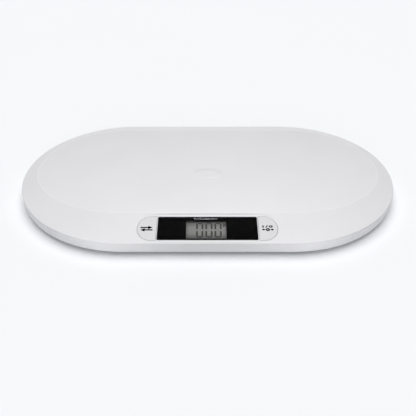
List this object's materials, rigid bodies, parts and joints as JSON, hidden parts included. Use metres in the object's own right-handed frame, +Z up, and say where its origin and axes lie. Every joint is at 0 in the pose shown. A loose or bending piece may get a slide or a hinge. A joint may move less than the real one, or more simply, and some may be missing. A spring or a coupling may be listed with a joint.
{
  "type": "animal weighing scale",
  "caption": "Low oval weighing scale for small animals: dished tray, front deck with a black display window between two D-shaped keys, and feet on load cells.",
  "frame": {"origin": "on the floor, under the middle of the tray's plan", "axes": "+X along the tray's length, to the right seen from the display; -Y towards the display and keys; +Z up"},
  "size_m": [0.549, 0.32, 0.0262],
  "materials": {
    "tray_plastic": "fine satin texture",
    "base_plastic": "satin",
    "key_plastic": "satin",
    "window_clear": "polished",
    "print_black": "glossy black print",
    "tape": "black foam tape",
    "lcd_glass": "polished",
    "reflector_white": "matt",
    "bracket_plastic": "matt",
    "zebra_rubber": "matt",
    "board_green": "solder mask",
    "package_black": "matt",
    "header_nylon": "matt",
    "screw_steel": "zinc plated",
    "cell_steel": "plated",
    "contact_metal": "nickel plated",
    "gauge_film": "film",
    "battery_sleeve": "printed sleeve, no lettering",
    "lead_jacket": "satin",
    "foot_plastic": "matt",
    "foot_rubber": "matt"
  },
  "bodies": {
    "case": {"top_tray": "tray_plastic", "base_cover": "base_plastic", "case_screws": "screw_steel", "display_window": "window_clear", "window_print": "print_black", "window_tape": "tape", "lcd_panel": "lcd_glass", "lcd_reflector": "reflector_white", "lcd_holder": "bracket_plastic", "zebra_strip": "zebra_rubber", "main_board": "board_green", "board_screws": "screw_steel", "processor": "package_black", "board_parts": "package_black", "wire_headers": "header_nylon", "unit_switch": "package_black", "tare_switch": "package_black", "unit_switch_dome": "contact_metal", "tare_switch_dome": "contact_metal", "strain_gauges": "gauge_film", "bracket_screws": "screw_steel", "battery_front": "battery_sleeve", "battery_back": "battery_sleeve", "contact_plates": "contact_metal", "contact_springs": "contact_metal", "battery_leads": "lead_jacket", "foot_cup_front_left": "foot_plastic", "foot_cup_front_right": "foot_plastic", "foot_cup_back_left": "foot_plastic", "foot_cup_back_right": "foot_plastic", "foot_pad_front_left": "foot_rubber", "foot_pad_front_right": "foot_rubber", "foot_pad_back_left": "foot_rubber", "foot_pad_back_right": "foot_rubber", "load_cell_front_left": "cell_steel", "load_cell_front_right": "cell_steel", "load_cell_back_left": "cell_steel", "load_cell_back_right": "cell_steel", "cell_bracket_front_left": "bracket_plastic", "cell_bracket_front_right": "bracket_plastic", "cell_bracket_back_left": "bracket_plastic", "cell_bracket_back_right": "bracket_plastic", "cell_lead_front_left": "lead_jacket", "cell_lead_front_right": "lead_jacket", "cell_lead_back_left": "lead_jacket", "cell_lead_back_right": "lead_jacket"},
    "unit_button": {"unit_key": "key_plastic", "unit_switch_plunger": "header_nylon"},
    "tare_button": {"tare_key": "key_plastic", "tare_switch_plunger": "header_nylon"},
    "battery_cover": {"battery_door": "base_plastic"}
  },
  "joints": [
    {"name": "unit_key_press", "type": "slide", "parent": "case", "child": "unit_button", "axis": [0, 0.0249, -0.9997], "range_m": [0, 0.0004], "stiffness_N_per_m": 3000, "deforming": ["unit_switch_dome"]},
    {"name": "tare_key_press", "type": "slide", "parent": "case", "child": "tare_button", "axis": [0, 0.0249, -0.9997], "range_m": [0, 0.0004], "stiffness_N_per_m": 3000, "deforming": ["tare_switch_dome"]},
    {"name": "battery_door_hinge", "type": "hinge", "parent": "case", "child": "battery_cover", "pos_m": [0, 0.0995, 0.0061], "axis": [-1, 0, 0], "range_deg": [0, 80]}
  ]
}
